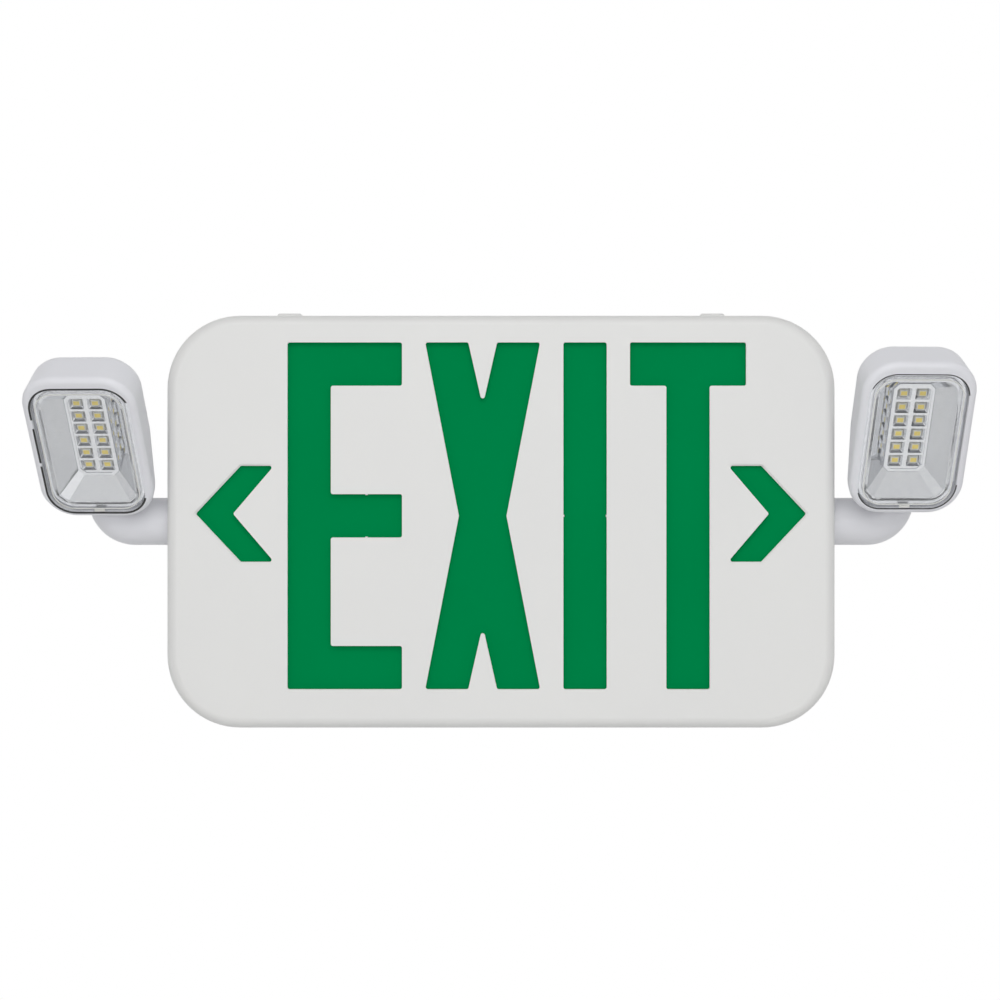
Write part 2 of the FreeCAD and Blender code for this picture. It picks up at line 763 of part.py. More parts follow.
def test_switch():
    """Push switch on the board's lower edge, above the button."""
    return block(BUTTON_X - SWITCH_HALF, BUTTON_X + SWITCH_HALF, BUTTON_Y - SWITCH_HALF,
                 board_front_y(), switch_low_z(), board_low_z() + SWITCH_GRIP)


def button_spring():
    """Coil spring between the button's flange and the switch."""
    base = button_flange_z() + BUTTON_FLANGE_T
    return tube(SPRING_OUTER_R, SPRING_INNER_R, Vector(BUTTON_X, BUTTON_Y, base), Z_DIR,
                switch_low_z() - base)


def status_lamp():
    z = -HEIGHT / 2 + STATUS_RECESS
    collar_z = -HEIGHT / 2 + WALL
    legs_z = collar_z + STATUS_BODY_L
    leg_w, leg_t = STATUS_LEG
    window = rod(STATUS_R, Vector(STATUS_X, BUTTON_Y, z), Z_DIR, collar_z - z)
    collar = rod(STATUS_R + STATUS_COLLAR, Vector(STATUS_X, BUTTON_Y, collar_z),
                 Z_DIR, STATUS_BODY_L)
    legs = block(STATUS_X - leg_w / 2, STATUS_X + leg_w / 2, BUTTON_Y - leg_t, board_front_y(),
                 legs_z, board_low_z() + STATUS_GRIP)
    return joined(window, collar, legs)


# Arms and swivels, drawn on the right-hand side

def elbow(radius, start_x, top_z):
    """Level run along X, a quarter bend, and a post that stands at POST_X."""
    bend_x = POST_X - ELBOW_R
    level = rod(radius, Vector(start_x, ARM_Y, 0), X_DIR, bend_x - start_x)
    ring = Part.makeCircle(radius, Vector(bend_x, ARM_Y, 0), X_DIR)
    face = Part.Face(Part.Wire([ring]))
    bend = face.revolve(Vector(bend_x, ARM_Y, ELBOW_R), Vector(0, -1, 0), 90)
    post = rod(radius, Vector(POST_X, ARM_Y, ELBOW_R), Z_DIR, top_z - ELBOW_R)
    return joined(level, bend, post)


def arm_shoulder_x():
    return WIDTH / 2 + AIR_GAP


def boss_face_x():
    return WIDTH / 2 - WALL - BOSS_L


def washer_x():
    return boss_face_x() - FIT_GAP - WASHER_T


def spigot_end_x():
    return washer_x() - NUT_T - SPIGOT_TAIL


def arm():
    outer = elbow(ARM_R, arm_shoulder_x(), POST_TOP)
    spigot = rod(SPIGOT_R, Vector(spigot_end_x(), ARM_Y, 0), X_DIR,
                 arm_shoulder_x() - spigot_end_x() + PAST)
    bore = elbow(ARM_BORE_R, spigot_end_x() - PAST, POST_TOP - POST_PLATE)
    stem_hole = rod(STEM_R + RUN_GAP, Vector(POST_X, ARM_Y, POST_TOP - POST_PLATE - PAST),
                    Z_DIR, POST_PLATE + 2 * PAST)
    return cut_all(joined(outer, spigot), [bore, stem_hole])


def friction_washer():
    return tube(WASHER_R, SPIGOT_R + RUN_GAP, Vector(washer_x(), ARM_Y, 0), X_DIR, WASHER_T)


def arm_nut():
    base = Vector(washer_x() - NUT_T, ARM_Y, 0)
    return hexagon(NUT_FLATS, base, X_DIR, NUT_T).cut(
        rod(SPIGOT_R + THREAD_GAP, base - X_DIR * PAST, X_DIR, NUT_T + 2 * PAST))


def clip_low_z():
    return POST_TOP - POST_PLATE - AIR_GAP - CLIP_T


def on_eye(angle):
    """Point (y, z) on the round of the tongue's eye."""
    turn = math.radians(angle)
    return (-PIVOT_FORWARD + TONGUE_R * math.cos(turn), PIVOT_Z + TONGUE_R * math.sin(turn))


def swivel():
    """Knuckle before it is turned: its axis is the post, its tongue points forwards."""
    base_z = POST_TOP + AIR_GAP
    cap_top = base_z + CAP_H
    profile = [Vector(0, 0, base_z), Vector(ARM_R, 0, base_z), Vector(ARM_R, 0, cap_top)]
    edges = [Part.LineSegment(profile[0], profile[1]).toShape(),
             Part.LineSegment(profile[1], profile[2]).toShape()]
    crown = Vector(0, 0, cap_top + CROWN_H)
    dome_r = (ARM_R ** 2 + CROWN_H ** 2) / (2 * CROWN_H)
    half_way = math.asin(ARM_R / dome_r) / 2
    bulge = crown + Vector(dome_r * math.sin(half_way), 0, -dome_r * (1 - math.cos(half_way)))
    edges.append(Part.Arc(profile[2], bulge, crown).toShape())
    edges.append(Part.LineSegment(crown, profile[0]).toShape())
    cap = Part.Face(Part.Wire(edges)).revolve(Vector(0, 0, 0), Z_DIR, 360)
    stem_low = POST_TOP - POST_PLATE - STEM_TAIL
    stem = rod(STEM_R, Vector(0, 0, stem_low), Z_DIR, base_z - stem_low + PAST)
    groove = tube(STEM_R + PAST, STEM_R - CLIP_GROOVE, Vector(0, 0, clip_low_z() - CLIP_FREE),
                  Z_DIR, CLIP_T + 2 * CLIP_FREE)
    half = TONGUE_T / 2
    eye = rod(TONGUE_R, Vector(-half, -PIVOT_FORWARD, PIVOT_Z), X_DIR, TONGUE_T)
    web = side_prism([(WEB_BACK, cap_top), (-WEB_FRONT, cap_top),
                      on_eye(WEB_FRONT_ANGLE), on_eye(WEB_BACK_ANGLE)], -half, half)
    body = joined(cap, stem.cut(groove), eye, web)
    lead_hole = rod(LEAD_HOLE_R, Vector(0, 0, stem_low - PAST), Z_DIR, cap_top - stem_low)
    pin_hole = rod(PIVOT_R + RUN_GAP, Vector(-half - PAST, -PIVOT_FORWARD, PIVOT_Z),
                   X_DIR, TONGUE_T + 2 * PAST)
    return cut_all(body, [lead_hole, pin_hole])


def retaining_clip():
    low = clip_low_z()
    ring = tube(CLIP_R, STEM_R - CLIP_GROOVE + RUN_GAP, Vector(0, 0, low), Z_DIR, CLIP_T)
    return ring.cut(block(-CLIP_MOUTH / 2, CLIP_MOUTH / 2, 0, CLIP_R + PAST,
                          low - PAST, low + CLIP_T + PAST))


# Lamp head, drawn with its pivot at the origin, facing -Y, untilted

def depth_y(depth):
    """Place of a plane that lies some depth behind the lens front."""
    return depth - PIVOT_BACK


def head_low_z():
    return PIVOT_DROP - LENS_H / 2 - RIM_LOW


def head_section(depth, inset):
    """Outline of the head at some depth; its sides are drafted."""
    draft = HEAD_TAPER * (depth - RIM_DEPTH) / (HEAD_DEPTH - RIM_DEPTH)
    return outline(LENS_W + 2 * (RIM_SIDE - inset - draft),
                   LENS_H + RIM_TOP + RIM_LOW - 2 * inset, HEAD_R - inset,
                   depth_y(depth), PIVOT_DROP + (RIM_TOP - RIM_LOW) / 2)


def head_form(inset, front, back_r):
    """Drafted body of the head with a sloping lower back; inset gives the inside of its wall."""
    back = HEAD_DEPTH - inset
    body = Part.makeLoft([head_section(front, inset), head_section(back, inset)], True, True)
    bend = Vector(0, depth_y(HEAD_DEPTH), PIVOT_DROP + HEAD_BEND)
    foot = Vector(0, depth_y(HEAD_FOOT), head_low_z())
    along = (foot - bend).normalize()
    normal = Vector(0, -along.z, along.y)
    bend -= normal * inset
    start = bend - along * LENS_H
    end = bend + along * 2 * LENS_H
    outside = normal * LENS_H
    corners = [(point.y, point.z) for point in (start, end, end + outside, start + outside)]
    body = body.cut(side_prism(corners, -LENS_W, LENS_W))
    backs = []
    for edge in body.Edges:
        on_back = all(abs(vertex.Y - depth_y(back)) < 1e-6 for vertex in edge.Vertexes)
        on_slope = all(abs((vertex.Point - bend).dot(normal)) < 1e-6
                       for vertex in edge.Vertexes)
        if on_back or on_slope:
            backs.append(edge)
    return body.makeFillet(back_r, backs)


def lug(x0):
    """Rear ear: it narrows from the sloping back to the eye round the pivot."""
    eye = rod(TONGUE_R, Vector(x0, 0, 0), X_DIR, LUG_T)
    points = [(-LUG_ROOT, LUG_RISE), (-LUG_ROOT, -LUG_DROP),
              tangent_point(-LUG_ROOT, -LUG_DROP, -1), tangent_point(-LUG_ROOT, LUG_RISE, 1)]
    return joined(side_prism(points, x0, x0 + LUG_T), eye)


def tangent_point(y, z, side):
    """Point where a line from (y, z) touches the outer side of the eye."""
    spread = math.acos(TONGUE_R / math.hypot(y, z))
    angle = math.atan2(z, y) - side * spread
    return TONGUE_R * math.cos(angle), TONGUE_R * math.sin(angle)


def lug_gap():
    return TONGUE_T / 2 + AIR_GAP


def board_depth():
    return FLOOR_DEPTH + FLOOR_T + BOARD_GAP


def lens_plan(grow, front, back, radius=None):
    """Rounded rectangle that follows the lens's outline at some distance outside it."""
    return slab(LENS_W + 2 * grow, LENS_H + 2 * grow, radius or LENS_R + grow,
                depth_y(front), depth_y(back), PIVOT_DROP)


def ledge_depth():
    return LENS_SKIRT + SEAT_GAP


def head_shell():
    body = head_form(0.0, RIM_DEPTH, HEAD_BACK_R)
    rim = [edge for edge in body.Edges
           if all(abs(vertex.Y - depth_y(RIM_DEPTH)) < 1e-6 for vertex in edge.Vertexes)]
    body = body.makeFillet(RIM_R, rim)
    body = joined(body, lug(lug_gap()), lug(-lug_gap() - LUG_T))
    hollow_front = ledge_depth() + LEDGE_T
    room = head_form(HEAD_WALL, -HEAD_WALL, HEAD_BACK_R - HEAD_WALL)
    room = room.cut(block(-LENS_W, LENS_W, depth_y(-2 * HEAD_WALL), depth_y(hollow_front),
                          -LENS_H, 2 * LENS_H))
    body = cut_all(body, [room, lens_plan(LENS_GAP, -PAST, ledge_depth()),
                          lens_plan(-LEDGE_W, -PAST, hollow_front + PAST, LEDGE_R)])
    filled = head_form(HEAD_WALL / 2, -HEAD_WALL, HEAD_BACK_R - HEAD_WALL / 2)
    centre = PIVOT_DROP + LAMP_BOARD_Z
    ribs = []
    for sign in (-1, 1):
        x = sign * BOARD_RIB_X
        rib = block(x - BOARD_RIB_T / 2, x + BOARD_RIB_T / 2,
                    depth_y(board_depth() + LAMP_BOARD_T), depth_y(HEAD_DEPTH),
                    centre - LAMP_BOARD_H / 2, centre + LAMP_BOARD_H / 2)
        ribs.append(rib.common(filled))
    body = joined(body, *ribs)
    half = lug_gap() + LUG_T + PAST
    return body.cut(rod(PIVOT_R + THREAD_GAP, Vector(-half, 0, 0), X_DIR, 2 * half))


def lens():
    """Clear cap: raised field, flange and a skirt that plugs into the shell."""
    relief = LENS_STEP + LENS_WALL
    body = joined(lens_plan(-LENS_STEP, 0, LENS_T),
                  lens_plan(0, LENS_FIELD, LENS_FIELD + LENS_T),
                  lens_plan(0, LENS_T, LENS_SKIRT))
    return cut_all(body, [lens_plan(-LENS_WALL, LENS_FIELD + LENS_T, LENS_SKIRT + PAST),
                          lens_plan(-relief, LENS_T, LENS_SKIRT)])


def octagon(width, height, chamfer, y, z):
    half_w, half_h = width / 2, height / 2
    points = []
    for sx, sz in ((1, -1), (1, 1), (-1, 1), (-1, -1)):
        first = (sx * (half_w - chamfer), sz * half_h)
        second = (sx * half_w, sz * (half_h - chamfer))
        points += [first, second] if sx * sz < 0 else [second, first]
    corners = [Vector(x, y, z + dz) for x, dz in points]
    return Part.makePolygon(corners + corners[:1])


def lamp_places():
    places = []
    for column in range(LAMP_COLUMNS):
        for row in range(LAMP_ROWS):
            x = (column - (LAMP_COLUMNS - 1) / 2) * LAMP_PITCH_X
            z = (row - (LAMP_ROWS - 1) / 2) * LAMP_PITCH_Z
            places.append((x, PIVOT_DROP + LAMP_CENTRE_Z + z))
    return places


def reflector():
    """Faceted tray: beaded flange, four sloping walls and a framed floor with lamp windows."""
    front = depth_y(flange_depth())
    floor = depth_y(FLOOR_DEPTH)
    z_mouth = PIVOT_DROP + MOUTH_Z
    z_floor = PIVOT_DROP + LAMP_CENTRE_Z
    shells = []
    for skin in (FLOOR_T, 0.0):
        mouth = octagon(MOUTH_W + 2 * skin, MOUTH_H + 2 * skin, MOUTH_CHAMFER, front, z_mouth)
        foot = octagon(FLOOR_W + 2 * skin, FLOOR_H + 2 * skin, FLOOR_CHAMFER,
                       floor + skin, z_floor)
        shells.append(Part.makeLoft([mouth, foot], True, True))
    inset = LENS_WALL + FIT_GAP
    plan = lens_plan(-inset, flange_depth(), FLOOR_DEPTH + FLOOR_T)
    flange = lens_plan(-inset, flange_depth(), LENS_SKIRT)
    bead = octagon_slab(MOUTH_W + 2 * BEAD_W, MOUTH_H + 2 * BEAD_W, MOUTH_CHAMFER + BEAD_W,
                        front - BEAD_H, front + FLOOR_T / 2, z_mouth)
    throat = octagon_slab(MOUTH_W, MOUTH_H, MOUTH_CHAMFER, front - PAST, front, z_mouth)
    bead = bead.common(lens_plan(-inset, 0, FLOOR_DEPTH))
    body = joined(shells[0].common(plan), flange, bead)
    body = cut_all(body, [shells[1], throat])
    frame = octagon_slab(FLOOR_W, FLOOR_H, FLOOR_CHAMFER, floor - BORDER_H, floor, z_floor)
    frame = frame.cut(octagon_slab(FLOOR_W - 2 * BORDER_W, FLOOR_H - 2 * BORDER_W,
                                   FLOOR_CHAMFER, floor - PAST, floor + PAST, z_floor))
    windows = [window_tool(x, z) for x, z in lamp_places()]
    return cut_all(joined(body, frame), windows)


def flange_depth():
    return LENS_FIELD + LENS_T + FIT_GAP


def octagon_slab(width, height, chamfer, y0, y1, z):
    face = Part.Face(octagon(width, height, chamfer, y0, z))
    return face.extrude(Vector(0, y1 - y0, 0))


def window_tool(x, z):
    """Bevelled window: wider in front than at the board."""
    front = depth_y(FLOOR_DEPTH) - SLIVER
    back = depth_y(FLOOR_DEPTH + FLOOR_T) + SLIVER
    wide = octagon(*WINDOW_FRONT, WINDOW_CHAMFER, front, z)
    tight = octagon(*WINDOW_BACK, WINDOW_CHAMFER, back, z)
    return Part.makeLoft([wide, tight], True, True).translated(Vector(x, 0, 0))


def lamp_board():
    z = PIVOT_DROP + LAMP_BOARD_Z
    y0 = depth_y(board_depth())
    return block(-LAMP_BOARD_W / 2, LAMP_BOARD_W / 2, y0, y0 + LAMP_BOARD_T,
                 z - LAMP_BOARD_H / 2, z + LAMP_BOARD_H / 2)


def lamp_leds():
    width, height, thick = LAMP_PACKAGE
    y1 = depth_y(board_depth())
    return Part.makeCompound([block(x - width / 2, x + width / 2, y1 - thick, y1,
                                    z - height / 2, z + height / 2) for x, z in lamp_places()])


def pivot_screw():
    outer = lug_gap() + LUG_T
    head_x = outer + SCREW_HEAD_H
    head = rod(SCREW_HEAD_R, Vector(outer, 0, 0), X_DIR, SCREW_HEAD_H)
    rim = [edge for edge in head.Edges
           if all(vertex.X > head_x - 1e-6 for vertex in edge.Vertexes)]
    head = head.makeFillet(SCREW_EDGE_R, rim)
    tip_x = -outer - PIVOT_NUT_T - SCREW_TAIL
    shank = rod(PIVOT_R, Vector(tip_x, 0, 0), X_DIR, outer + SCREW_HEAD_H / 2 - tip_x)
    slot = block(head_x - SCREW_SLOT_DEPTH, head_x + PAST, -SCREW_SLOT_W / 2, SCREW_SLOT_W / 2,
                 -SCREW_HEAD_R, SCREW_HEAD_R)
    return joined(head, shank).cut(slot)


def pivot_nut():
    base = Vector(-lug_gap() - LUG_T - PIVOT_NUT_T, 0, 0)
    hole = rod(PIVOT_R + THREAD_GAP, base - X_DIR * PAST, X_DIR, PIVOT_NUT_T + 2 * PAST)
    return hexagon(PIVOT_NUT_FLATS, base, X_DIR, PIVOT_NUT_T).cut(hole)


# Placing

def swivel_place(side):
    turn, _ = AIM[side]
    return Placement(Vector(SIDE[side] * POST_X, ARM_Y, 0), Rotation(Z_DIR, turn))


def head_place(side):
    turn, tilt = AIM[side]
    yaw = Rotation(Z_DIR, turn)
    forward = yaw.multVec(Vector(0, -PIVOT_FORWARD, 0))
    base = Vector(SIDE[side] * POST_X, ARM_Y, PIVOT_Z) + forward
    return Placement(base, yaw.multiply(Rotation(X_DIR, tilt)))


def placed(shape, placement):
    moved = shape.copy()
    moved.Placement = placement.multiply(moved.Placement)
    return moved


def housing_pieces():
    add("front_cover", front_cover())
    add("legend_panel", legend_panel())
    add("light_tray", light_tray())
    add("rear_housing", rear_housing())
    for name, up in (("top", 1), ("bottom", -1)):
        add("sign_light_strip_" + name, sign_strip(up))
        add("sign_leds_" + name, sign_lamps(up))
    add("battery_pack", battery_pack())
    add("battery_strap", battery_strap())
    add("charger_board", charger_board())
    add("board_screws", board_screws())
    add("transformer", transformer())
    add("board_components", board_parts())
    add("terminal_block", terminal_block())
    add("test_button", test_button())
    add("button_spring", button_spring())
    add("test_switch", test_switch())
    add("status_lamp", status_lamp())


def arm_pieces():
    for side in SIDE:
        add("arm_" + side, mirrored(arm(), side))
        add("arm_washer_" + side, mirrored(friction_washer(), side))
        add("arm_nut_" + side, mirrored(arm_nut(), side))
        add("swivel_" + side, placed(mirrored(swivel(), side), swivel_place(side)))
        add("swivel_clip_" + side, placed(mirrored(retaining_clip(), side), swivel_place(side)))


def head_pieces():
    makers = {"head_shell": head_shell, "head_lens": lens, "reflector": reflector,
              "lamp_board": lamp_board, "lamp_leds": lamp_leds,
              "pivot_screw": pivot_screw, "pivot_nut": pivot_nut}
    for name, maker in makers.items():
        shape = maker()
        for side in SIDE:
            add(name + "_" + side, placed(mirrored(shape, side), head_place(side)))


def export():
    os.makedirs("parts", exist_ok=True)
    for name, shape in PIECES.items():
        shape.exportStep("parts/" + name + ".step")


housing_pieces()
arm_pieces()
head_pieces()
export()
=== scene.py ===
# Emergency exit light: stencil sign housing, elbow arms and two lamp heads
import bmesh
import bpy
import json
import math
from mathutils import Matrix, Vector


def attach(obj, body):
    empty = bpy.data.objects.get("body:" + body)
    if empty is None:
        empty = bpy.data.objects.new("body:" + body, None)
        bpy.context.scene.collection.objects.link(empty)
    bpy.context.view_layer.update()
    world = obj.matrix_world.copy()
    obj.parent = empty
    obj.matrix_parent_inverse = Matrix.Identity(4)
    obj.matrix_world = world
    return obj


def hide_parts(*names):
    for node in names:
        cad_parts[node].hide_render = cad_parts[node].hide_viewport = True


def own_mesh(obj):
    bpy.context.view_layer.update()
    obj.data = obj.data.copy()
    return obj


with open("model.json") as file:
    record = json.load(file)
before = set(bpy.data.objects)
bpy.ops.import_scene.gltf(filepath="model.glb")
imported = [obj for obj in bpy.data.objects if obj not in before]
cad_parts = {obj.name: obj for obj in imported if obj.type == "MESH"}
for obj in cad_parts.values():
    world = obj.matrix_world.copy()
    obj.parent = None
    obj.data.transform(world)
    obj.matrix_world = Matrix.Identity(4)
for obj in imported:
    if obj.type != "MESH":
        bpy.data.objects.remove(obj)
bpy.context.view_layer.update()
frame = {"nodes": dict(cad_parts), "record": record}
nodes = frame["nodes"]
mm = 0.001
sides = {"left": -1, "right": 1}
black, white = (0, 0, 0), (1, 1, 1)
upright = (math.radians(90), 0, 0)


class Wire:
    # a node's output that takes part in sums, so a mask reads as plain arithmetic
    def __init__(self, finish, socket):
        self.finish = finish
        self.socket = socket

    def combine(self, operation, *values):
        return self.finish.add("ShaderNodeMath", {"operation": operation}, dict(enumerate(values)))

    def __add__(self, other):
        return self.combine("ADD", self, other)

    def __radd__(self, other):
        return self.combine("ADD", other, self)

    def __sub__(self, other):
        return self.combine("SUBTRACT", self, other)

    def __rsub__(self, other):
        return self.combine("SUBTRACT", other, self)

    def __mul__(self, other):
        return self.combine("MULTIPLY", self, other)

    def __rmul__(self, other):
        return self.combine("MULTIPLY", other, self)

    def __pow__(self, other):
        return self.combine("POWER", self, other)

    def __gt__(self, other):
        return self.combine("GREATER_THAN", self, other)


class Finish:
    # the nodes round one shader
    def __init__(self, tree, shader):
        self.tree = tree
        self.shader = tree.nodes[shader]

    def set(self, node, values):
        for key, value in values.items():
            target = node.inputs[key]
            if isinstance(value, Wire):
                self.tree.links.new(value.socket, target)
            elif target.type == "RGBA":
                target.default_value = tuple(value) + (1,)
            else:
                target.default_value = value

    def add(self, kind, settings=None, values=None, out=0):
        node = self.tree.nodes.new(kind)
        for key, value in (settings or {}).items():
            setattr(node, key, value)
        self.set(node, values or {})
        return Wire(self, node.outputs[out])

    def paint(self, **values):
        self.set(self.shader, {key.replace("_", " "): value for key, value in values.items()})
        return self

    def place(self, stretch=(1, 1, 1)):
        spot = self.add("ShaderNodeTexCoord", out="Object")
        return self.add("ShaderNodeMapping", {}, {"Vector": spot, "Scale": stretch})

    def noise(self, scale, detail=2.0, stretch=(1, 1, 1)):
        return self.add("ShaderNodeTexNoise", {},
                        {"Vector": self.place(stretch), "Scale": scale, "Detail": detail})

    def blend(self, factor, first, second):
        # sockets 6 and 7 and output 2 are the Mix node's colours
        return self.add("ShaderNodeMix", {"data_type": "RGBA"},
                        {0: factor, 6: first, 7: second}, out=2)

    def relief(self, height, depth, strength=0.4):
        return self.add("ShaderNodeBump", {},
                        {"Height": height, "Distance": depth, "Strength": strength})


def srgb(red, green, blue):
    # display values from 0 to 255, taken back to linear light by the sRGB curve
    def linear(value):
        value /= 255
        return value / 12.92 if value <= 0.04045 else ((value + 0.055) / 1.055) ** 2.4
    return tuple(linear(value) for value in (red, green, blue))


def darker(colour, share):
    return tuple(part * share for part in colour)


def around(level, noise, spread):
    # a level that varies both ways with a noise, whose middle is a half
    return level + (noise - 0.5) * spread


def newFinish(name, **constants):
    material = bpy.data.materials.new(name)
    material.use_nodes = True
    finish = Finish(material.node_tree, "Principled BSDF")
    finish.material = material
    return finish.paint(**constants)


# scales count repeats in a metre, depths are metres
whiteShell = {"colour": srgb(228, 228, 226), "patch": srgb(224, 224, 223), "patchScale": 14,
              "roughness": 0.4, "spread": 0.1, "sparkScale": 2600, "sparkDetail": 3.0,
              "sparkDepth": 0.00003, "flowScale": 60, "flowDetail": 1.0, "flowDepth": 0.00006,
              "strength": 0.5}
# arms, swivels and heads come from another, cooler batch
coolShell = dict(whiteShell, colour=srgb(232, 232, 236), patch=srgb(227, 228, 233), roughness=0.44)
coolNodes = [piece + "_" + side for piece in ("arm", "swivel", "head_shell") for side in sides]


def whitePlastic(name, look):
    # moulded shell: spark-eroded texture over a very slight flow waviness
    finish = newFinish(name)
    patch = finish.noise(look["patchScale"])
    spark = finish.noise(look["sparkScale"], look["sparkDetail"])
    flow = finish.noise(look["flowScale"], look["flowDetail"])
    # the height is in metres already, so the relief takes it as it is
    height = spark * look["sparkDepth"] + flow * look["flowDepth"]
    finish.paint(Base_Color=finish.blend(patch, look["colour"], look["patch"]),
                 Roughness=around(look["roughness"], spark, look["spread"]),
                 Normal=finish.relief(height, 1.0, look["strength"]))
    return finish.material


greenSheet = {"colour": srgb(0, 131, 71), "patch": srgb(0, 136, 76), "patchScale": 18, "gloss": 0.0,
              "roughness": 0.5, "spread": 0.12, "grainScale": 1800, "grainDepth": 0.00002}


def greenLegend():
    # through-coloured acrylic sheet with a satin face
    finish = newFinish("greenLegend", Specular_IOR_Level=greenSheet["gloss"])
    patch = finish.noise(greenSheet["patchScale"])
    grain = finish.noise(greenSheet["grainScale"])
    finish.paint(Base_Color=finish.blend(patch, greenSheet["colour"], greenSheet["patch"]),
                 Roughness=around(greenSheet["roughness"], grain, greenSheet["spread"]),
                 Normal=finish.relief(grain, greenSheet["grainDepth"]))
    return finish.material


clearPane = {"colour": srgb(222, 224, 226), "refraction": 1.49, "facing": 0.05, "edge": 0.5,
             "edgePower": 2.0, "edgeBlend": 0.5, "roughness": 0.03, "rippleScale": 90,
             "rippleDetail": 1.0, "rippleHaze": 0.03}


def clearLens():
    # thin clear cover, which shows most along its edges
    finish = newFinish("clearLens", Base_Color=clearPane["colour"], IOR=clearPane["refraction"])
    edge = finish.add("ShaderNodeLayerWeight", {}, {"Blend": clearPane["edgeBlend"]}, "Facing")
    ripple = finish.noise(clearPane["rippleScale"], clearPane["rippleDetail"])
    finish.paint(Alpha=clearPane["facing"] + edge ** clearPane["edgePower"] * clearPane["edge"],
                 Roughness=clearPane["roughness"] + ripple * clearPane["rippleHaze"])
    return finish.material


silverCoat = {"colour": srgb(216, 217, 219), "patch": srgb(204, 206, 209), "metallic": 1.0,
              "roughness": 0.02, "haze": 0.03, "hazeScale": 420, "hazeDetail": 3.0,
              "rippleScale": 120, "rippleDetail": 1.0, "rippleDepth": 0.00005}
borderCoat = {"colour": srgb(226, 227, 230), "patch": srgb(206, 208, 213), "metallic": 0.85,
              "roughness": 0.14, "haze": 0.16, "hazeScale": 380, "hazeDetail": 3.0,
              "rippleScale": 150, "rippleDetail": 2.0, "rippleDepth": 0.0001}


def silvered(name, look):
    # vacuum-metallised plastic, slightly wavy and hazy
    finish = newFinish(name, Metallic=look["metallic"])
    ripple = finish.noise(look["rippleScale"], look["rippleDetail"])
    haze = finish.noise(look["hazeScale"], look["hazeDetail"])
    finish.paint(Base_Color=finish.blend(haze, look["colour"], look["patch"]),
                 Roughness=look["roughness"] + haze * look["haze"],
                 Normal=finish.relief(ripple, look["rippleDepth"]))
    return finish.material


fineGrain = {"scale": 2200, "detail": 3.0, "depth": 0.00003, "spread": 0.08, "patchScale": 35,
             "shade": 0.88}


def moulded(name, colour, roughness, **changes):
    # any other moulded or rubber piece: two close shades and a fine grain
    look = dict(fineGrain, **changes)
    finish = newFinish(name)
    patch = finish.noise(look["patchScale"])
    grain = finish.noise(look["scale"], look["detail"])
    finish.paint(Base_Color=finish.blend(patch, colour, darker(colour, look["shade"])),
                 Roughness=around(roughness, grain, look["spread"]),
                 Normal=finish.relief(grain, look["depth"]))
    return finish.material


zincPlate = {"colour": srgb(196, 196, 192), "shade": 0.72, "roughness": 0.3, "spread": 0.25,
             "scratchScale": 900, "scratchDetail": 4.0, "scratchStretch": (1, 1, 14),
             "scratchDepth": 0.00003, "strength": 0.5, "cloudScale": 160, "cloudDetail": 3.0}


def platedSteel():
    # zinc plate over drawn steel: fine level scratches and cloudy patches
    finish = newFinish("platedSteel", Metallic=1.0)
    scratch = finish.noise(zincPlate["scratchScale"], zincPlate["scratchDetail"],
                           zincPlate["scratchStretch"])
    cloud = finish.noise(zincPlate["cloudScale"], zincPlate["cloudDetail"])
    shade = darker(zincPlate["colour"], zincPlate["shade"])
    finish.paint(Base_Color=finish.blend(cloud, zincPlate["colour"], shade),
                 Roughness=around(zincPlate["roughness"], scratch, zincPlate["spread"]),
                 Normal=finish.relief(scratch, zincPlate["scratchDepth"], zincPlate["strength"]))
    return finish.material


coreStack = {"colour": srgb(96, 96, 100), "shade": 0.35, "metallic": 0.7, "sheetScale": 620,
             "distortion": 0.4, "detail": 1.0, "sheetDepth": 0.00012, "roughness": 0.42,
             "patchScale": 300, "patchHaze": 0.2}


def laminationSteel():
    # stacked core sheets: thin dark joints between them
    finish = newFinish("laminationSteel", Metallic=coreStack["metallic"])
    sheets = finish.add("ShaderNodeTexWave", {"bands_direction": "X"},
                        {"Vector": finish.place(), "Scale": coreStack["sheetScale"],
                         "Distortion": coreStack["distortion"], "Detail": coreStack["detail"]})
    patch = finish.noise(coreStack["patchScale"])
    shade = darker(coreStack["colour"], coreStack["shade"])
    finish.paint(Base_Color=finish.blend(sheets, shade, coreStack["colour"]),
                 Roughness=coreStack["roughness"] + patch * coreStack["patchHaze"],
                 Normal=finish.relief(sheets, coreStack["sheetDepth"]))
    return finish.material


tracks = {"scale": 170, "randomness": 0.35, "width": 0.09, "show": 0.8, "depth": 0.00004,
          "roughness": 0.32, "patchScale": 500, "patchHaze": 0.1}


def circuit(name, mask, copper):
    # solder mask with the tracks just showing through it
    finish = newFinish(name)
    cells = finish.add("ShaderNodeTexVoronoi", {"feature": "DISTANCE_TO_EDGE"},
                       {"Vector": finish.place(), "Scale": tracks["scale"],
                        "Randomness": tracks["randomness"]})
    line = 1 - (cells > tracks["width"])
    patch = finish.noise(tracks["patchScale"])
    finish.paint(Base_Color=finish.blend(line * tracks["show"], mask, copper),
                 Roughness=tracks["roughness"] + patch * tracks["patchHaze"],
                 Normal=finish.relief(line, tracks["depth"]))
    return finish.material


sleeveFilm = {"colour": srgb(30, 80, 150), "shade": 0.7, "roughness": 0.22, "wrinkleHaze": 0.2,
              "wrinkleScale": 70, "wrinkleDetail": 3.0, "wrinkleStretch": (1, 1, 5),
              "wrinkleDepth": 0.0006, "strength": 0.6}


